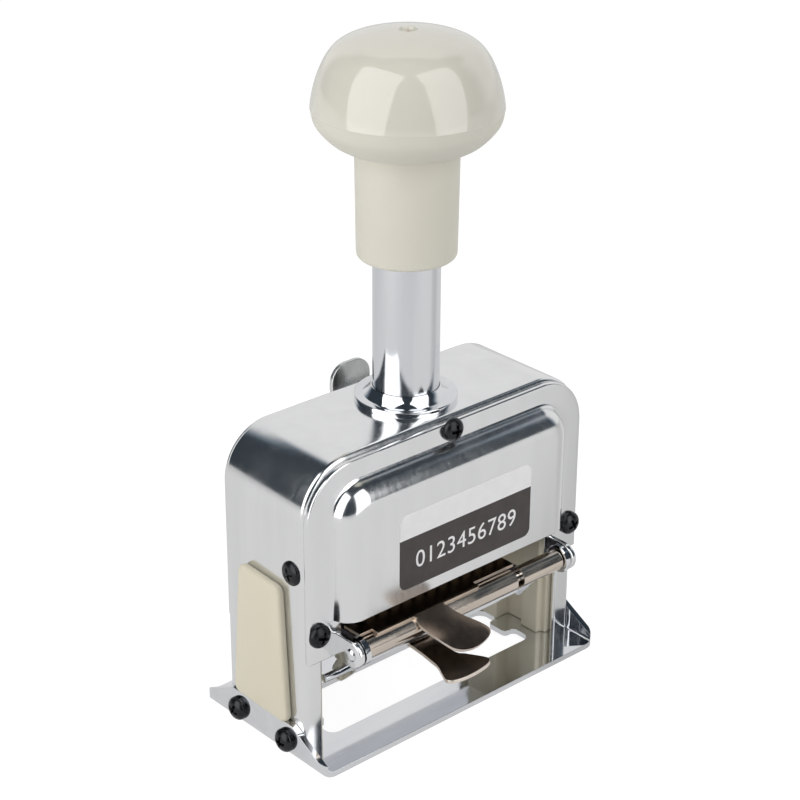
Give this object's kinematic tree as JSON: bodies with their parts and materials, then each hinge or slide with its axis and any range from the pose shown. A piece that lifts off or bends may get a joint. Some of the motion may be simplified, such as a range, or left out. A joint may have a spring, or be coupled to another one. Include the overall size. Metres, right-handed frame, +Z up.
{
  "type": "numbering machine",
  "caption": "Hand-pressed automatic numbering machine: a round knob on a plunger drives number wheels through an arched metal frame on a slotted base, with a swing-away ink pad.",
  "frame": {"origin": "centre of the footprint box, on the surface that the base plate stands on", "axes": "+X to the right as seen from the front, +Y to the back, +Z up along the plunger"},
  "size_m": [0.0958, 0.0574, 0.1663],
  "materials": {
    "polished_metal": "polished, bright, with soft streaks",
    "chrome": "mirror plating",
    "black_nickel": "dark bronze-black plating, glossy, with light cut edges",
    "cream_gloss": "glossy moulded plastic",
    "cream_satin": "satin moulded plastic",
    "black_oxide": "black oxide",
    "steel": "plain machined steel",
    "brass": "engraved type metal",
    "felt": "inked felt"
  },
  "bodies": {
    "housing": {"frame": "polished_metal", "base_plate": "chrome", "front_cover": "polished_metal", "back_cover": "polished_metal", "front_screw_top": "black_oxide", "front_screw_left": "black_oxide", "front_screw_right": "black_oxide", "back_screw_top": "black_oxide", "back_screw_left": "black_oxide", "back_screw_right": "black_oxide", "base_screw_left_front": "black_oxide", "base_screw_left_back": "black_oxide", "base_screw_right_front": "black_oxide", "base_screw_right_back": "black_oxide", "side_screw_left": "black_oxide", "side_screw_right": "black_oxide", "guide_left": "cream_satin", "guide_right": "cream_satin", "collar": "chrome", "collar_nut": "steel", "pad_rod": "chrome", "lever_pivot": "steel"},
    "head": {"plunger_tube": "chrome", "knob_sleeve": "cream_gloss", "knob_cap": "cream_gloss", "knob_screw": "steel", "crosshead": "steel", "head_plate_left": "steel", "head_plate_right": "steel", "wheel_axle": "steel", "detent_comb": "steel", "return_spring_left": "steel", "return_spring_right": "steel"},
    "wheel_01": {"number_wheel_01": "brass"},
    "wheel_02": {"number_wheel_02": "brass"},
    "wheel_03": {"number_wheel_03": "brass"},
    "wheel_04": {"number_wheel_04": "brass"},
    "wheel_05": {"number_wheel_05": "brass"},
    "wheel_06": {"number_wheel_06": "brass"},
    "wheel_07": {"number_wheel_07": "brass"},
    "wheel_08": {"number_wheel_08": "brass"},
    "wheel_09": {"number_wheel_09": "brass"},
    "wheel_10": {"number_wheel_10": "brass"},
    "wheel_11": {"number_wheel_11": "brass"},
    "wheel_12": {"number_wheel_12": "brass"},
    "pawl_carrier": {"pawl_carrier": "steel", "pawl_shaft": "steel"},
    "pawl_comb": {"pawl_comb": "steel"},
    "pad_holder": {"pad_tray": "chrome", "ink_pad": "felt", "pad_barrel": "black_nickel", "pad_tab": "black_nickel", "pad_rivet": "chrome"},
    "pad_lid": {"pad_lid": "black_nickel"},
    "counter_lever": {"counter_lever": "chrome"}
  },
  "joints": [
    {"name": "plunger_slide", "type": "slide", "parent": "housing", "child": "head", "axis": [0, 0, -1], "range_m": [0, 0.0265], "stiffness_N_per_m": 500, "springref_m": -0.012, "deforming": ["return_spring_left", "return_spring_right"]},
    {"name": "pad_swing", "type": "hinge", "parent": "housing", "child": "pad_holder", "pos_m": [0, -0.01598, 0.0293], "axis": [-1, 0, 0], "range_deg": [0, 88]},
    {"name": "pad_pinch", "type": "hinge", "parent": "pad_holder", "child": "pad_lid", "pos_m": [0, -0.01598, 0.0293], "axis": [1, 0, 0], "range_deg": [0, 8], "stiffness_Nm_per_rad": 0.03, "springref_deg": -17.19},
    {"name": "wheel_01_spin", "type": "hinge", "parent": "head", "child": "wheel_01", "pos_m": [0, 0.00282, 0.0375], "axis": [1, 0, 0], "continuous": true},
    {"name": "wheel_02_spin", "type": "hinge", "parent": "head", "child": "wheel_02", "pos_m": [0, 0.00282, 0.0375], "axis": [1, 0, 0], "continuous": true},
    {"name": "wheel_03_spin", "type": "hinge", "parent": "head", "child": "wheel_03", "pos_m": [0, 0.00282, 0.0375], "axis": [1, 0, 0], "continuous": true},
    {"name": "wheel_04_spin", "type": "hinge", "parent": "head", "child": "wheel_04", "pos_m": [0, 0.00282, 0.0375], "axis": [1, 0, 0], "continuous": true},
    {"name": "wheel_05_spin", "type": "hinge", "parent": "head", "child": "wheel_05", "pos_m": [0, 0.00282, 0.0375], "axis": [1, 0, 0], "continuous": true},
    {"name": "wheel_06_spin", "type": "hinge", "parent": "head", "child": "wheel_06", "pos_m": [0, 0.00282, 0.0375], "axis": [1, 0, 0], "continuous": true},
    {"name": "wheel_07_spin", "type": "hinge", "parent": "head", "child": "wheel_07", "pos_m": [0, 0.00282, 0.0375], "axis": [1, 0, 0], "continuous": true},
    {"name": "wheel_08_spin", "type": "hinge", "parent": "head", "child": "wheel_08", "pos_m": [0, 0.00282, 0.0375], "axis": [1, 0, 0], "continuous": true},
    {"name": "wheel_09_spin", "type": "hinge", "parent": "head", "child": "wheel_09", "pos_m": [0, 0.00282, 0.0375], "axis": [1, 0, 0], "continuous": true},
    {"name": "wheel_10_spin", "type": "hinge", "parent": "head", "child": "wheel_10", "pos_m": [0, 0.00282, 0.0375], "axis": [1, 0, 0], "continuous": true},
    {"name": "wheel_11_spin", "type": "hinge", "parent": "head", "child": "wheel_11", "pos_m": [0, 0.00282, 0.0375], "axis": [1, 0, 0], "continuous": true},
    {"name": "wheel_12_spin", "type": "hinge", "parent": "head", "child": "wheel_12", "pos_m": [0, 0.00282, 0.0375], "axis": [1, 0, 0], "continuous": true},
    {"name": "pawl_feed", "type": "hinge", "parent": "head", "child": "pawl_carrier", "pos_m": [0, 0.00282, 0.0375], "axis": [-1, 0, 0], "range_deg": [0, 36]},
    {"name": "pawl_lift", "type": "hinge", "parent": "pawl_carrier", "child": "pawl_comb", "pos_m": [0, 0.01522, 0.04201], "axis": [-1, 0, 0], "range_deg": [0, 8]},
    {"name": "counter_lever_turn", "type": "hinge", "parent": "housing", "child": "counter_lever", "pos_m": [0, 0.02662, 0.056], "axis": [0, 1, 0], "range_deg": [-40, 40]}
  ],
  "couplings": [
    {"joint": "pad_swing", "follows": "plunger_slide", "rad_per_m": 57.9},
    {"joint": "pawl_feed", "follows": "plunger_slide", "rad_per_m": 23.7}
  ]
}
